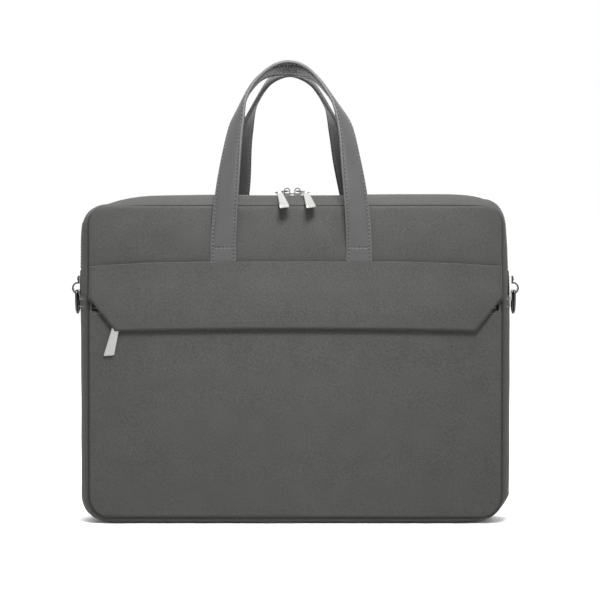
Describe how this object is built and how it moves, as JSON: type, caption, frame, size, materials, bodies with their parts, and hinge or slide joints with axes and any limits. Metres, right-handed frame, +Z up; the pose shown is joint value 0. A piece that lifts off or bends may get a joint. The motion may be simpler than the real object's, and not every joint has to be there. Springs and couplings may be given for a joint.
{
  "type": "laptop briefcase",
  "caption": "Soft padded laptop briefcase with a zipped top opening, a front flap over a zipped pocket, two twisted leather strap handles and side rings.",
  "frame": {"origin": "middle of the flat base that the case stands on", "axes": "+Z up; -Y is the front with the flap; X runs along the width, from side ring to side ring"},
  "size_m": [0.4216, 0.0926, 0.4352],
  "materials": {
    "shell_fabric": "close plain weave, matte",
    "lining_fabric": "smooth twill",
    "foam": "closed-cell padding under cloth",
    "binding_tape": "ribbed tape",
    "zip_coil": "nylon coil",
    "handle_leather": "smooth, semi-gloss, stitched",
    "handle_core": "soft filler under leather",
    "base_board": "cloth-covered board",
    "satin_nickel": "satin plated",
    "dark_nickel": "dark polished plate"
  },
  "bodies": {
    "case": {"back_panel": "shell_fabric", "lower_gusset": "shell_fabric", "back_zip_strip": "shell_fabric", "pocket_panel": "shell_fabric", "pocket_zip_header": "shell_fabric", "trolley_sleeve": "shell_fabric", "ring_patch_left": "shell_fabric", "ring_patch_right": "shell_fabric", "back_lining": "lining_fabric", "gusset_lining": "lining_fabric", "pocket_lining": "lining_fabric", "front_wall_lining": "lining_fabric", "organiser_panel": "lining_fabric", "laptop_divider": "lining_fabric", "laptop_tab": "lining_fabric", "pocket_zip_facings": "lining_fabric", "back_foam": "foam", "gusset_foam": "foam", "front_wall_foam": "foam", "back_seam_binding": "binding_tape", "front_seam_binding": "binding_tape", "back_zip_tape": "binding_tape", "pocket_zip_tapes": "binding_tape", "back_zip_coil": "zip_coil", "pocket_zip_coils": "zip_coil", "back_handle_anchors": "handle_leather", "base_board": "base_board", "ring_bridge_left": "dark_nickel", "ring_bridge_right": "dark_nickel", "ring_rivets_left": "dark_nickel", "ring_rivets_right": "dark_nickel"},
    "front_leaf": {"upper_front_panel": "shell_fabric", "upper_front_foam": "foam", "upper_front_lining": "lining_fabric", "upper_seam_binding": "binding_tape", "front_zip_strip": "shell_fabric", "front_zip_tape": "binding_tape", "front_zip_coil": "zip_coil", "flap_yoke": "shell_fabric", "front_handle_anchors": "handle_leather"},
    "front_flap": {"flap": "shell_fabric", "flap_lining": "lining_fabric"},
    "front_handle": {"front_handle_face": "handle_leather", "front_handle_pad": "handle_core", "front_handle_lining": "handle_leather"},
    "back_handle": {"back_handle_face": "handle_leather", "back_handle_pad": "handle_core", "back_handle_lining": "handle_leather"},
    "left_slider": {"slider_left": "satin_nickel"},
    "left_link": {"link_left": "satin_nickel"},
    "left_puller": {"puller_left": "satin_nickel"},
    "right_slider": {"slider_right": "satin_nickel"},
    "right_link": {"link_right": "satin_nickel"},
    "right_puller": {"puller_right": "satin_nickel"},
    "pocket_slider": {"slider_pocket": "satin_nickel", "link_pocket": "satin_nickel"},
    "pocket_puller": {"puller_pocket": "satin_nickel"},
    "left_ring": {"d_ring_left": "dark_nickel"},
    "right_ring": {"d_ring_right": "dark_nickel"}
  },
  "joints": [
    {"name": "leaf_opens", "type": "hinge", "parent": "case", "child": "front_leaf", "pos_m": [0, -0.0352, 0.2151], "axis": [1, 0, 0], "range_deg": [0, 30]},
    {"name": "flap_lifts", "type": "hinge", "parent": "case", "child": "front_flap", "pos_m": [0, -0.0352, 0.2151], "axis": [-1, 0, 0], "range_deg": [0, 110]},
    {"name": "front_handle_folds", "type": "hinge", "parent": "front_leaf", "child": "front_handle", "pos_m": [0, -0.0322, 0.2594], "axis": [-1, 0, 0], "range_deg": [-120, 0]},
    {"name": "back_handle_folds", "type": "hinge", "parent": "case", "child": "back_handle", "pos_m": [0, 0.0322, 0.2594], "axis": [1, 0, 0], "range_deg": [-120, 0]},
    {"name": "left_slider_runs", "type": "slide", "parent": "front_leaf", "child": "left_slider", "axis": [1, 0, 0], "range_m": [-0.024, 0]},
    {"name": "left_link_lifts", "type": "hinge", "parent": "left_slider", "child": "left_link", "pos_m": [-0.0079, 0, 0.31198], "axis": [-0.5736, 0.8192, 0], "range_deg": [0, 100]},
    {"name": "left_puller_lifts", "type": "hinge", "parent": "left_link", "child": "left_puller", "pos_m": [-0.01498, -0.00872, 0.31048], "axis": [0.9903, 0.1392, 0], "range_deg": [-100, 0]},
    {"name": "right_slider_runs", "type": "slide", "parent": "front_leaf", "child": "right_slider", "axis": [1, 0, 0], "range_m": [0, 0.022]},
    {"name": "right_link_lifts", "type": "hinge", "parent": "right_slider", "child": "right_link", "pos_m": [0.0019, 0, 0.31198], "axis": [-0.5736, -0.8192, 0], "range_deg": [0, 100]},
    {"name": "right_puller_lifts", "type": "hinge", "parent": "right_link", "child": "right_puller", "pos_m": [0.00954, -0.00872, 0.31048], "axis": [0.9903, 0.1392, 0], "range_deg": [-100, 0]},
    {"name": "pocket_slider_runs", "type": "slide", "parent": "case", "child": "pocket_slider", "axis": [1, 0, 0], "range_m": [0, 0.32]},
    {"name": "pocket_puller_rocks", "type": "hinge", "parent": "pocket_slider", "child": "pocket_puller", "pos_m": [-0.16488, -0.0322, 0.1959], "axis": [0, 1, 0], "range_deg": [0, 5]},
    {"name": "left_ring_swings", "type": "hinge", "parent": "case", "child": "left_ring", "pos_m": [-0.2058, 0, 0.21805], "axis": [0, 1, 0], "range_deg": [0, 160]},
    {"name": "right_ring_swings", "type": "hinge", "parent": "case", "child": "right_ring", "pos_m": [0.2058, 0, 0.21805], "axis": [0, -1, 0], "range_deg": [0, 160]}
  ]
}
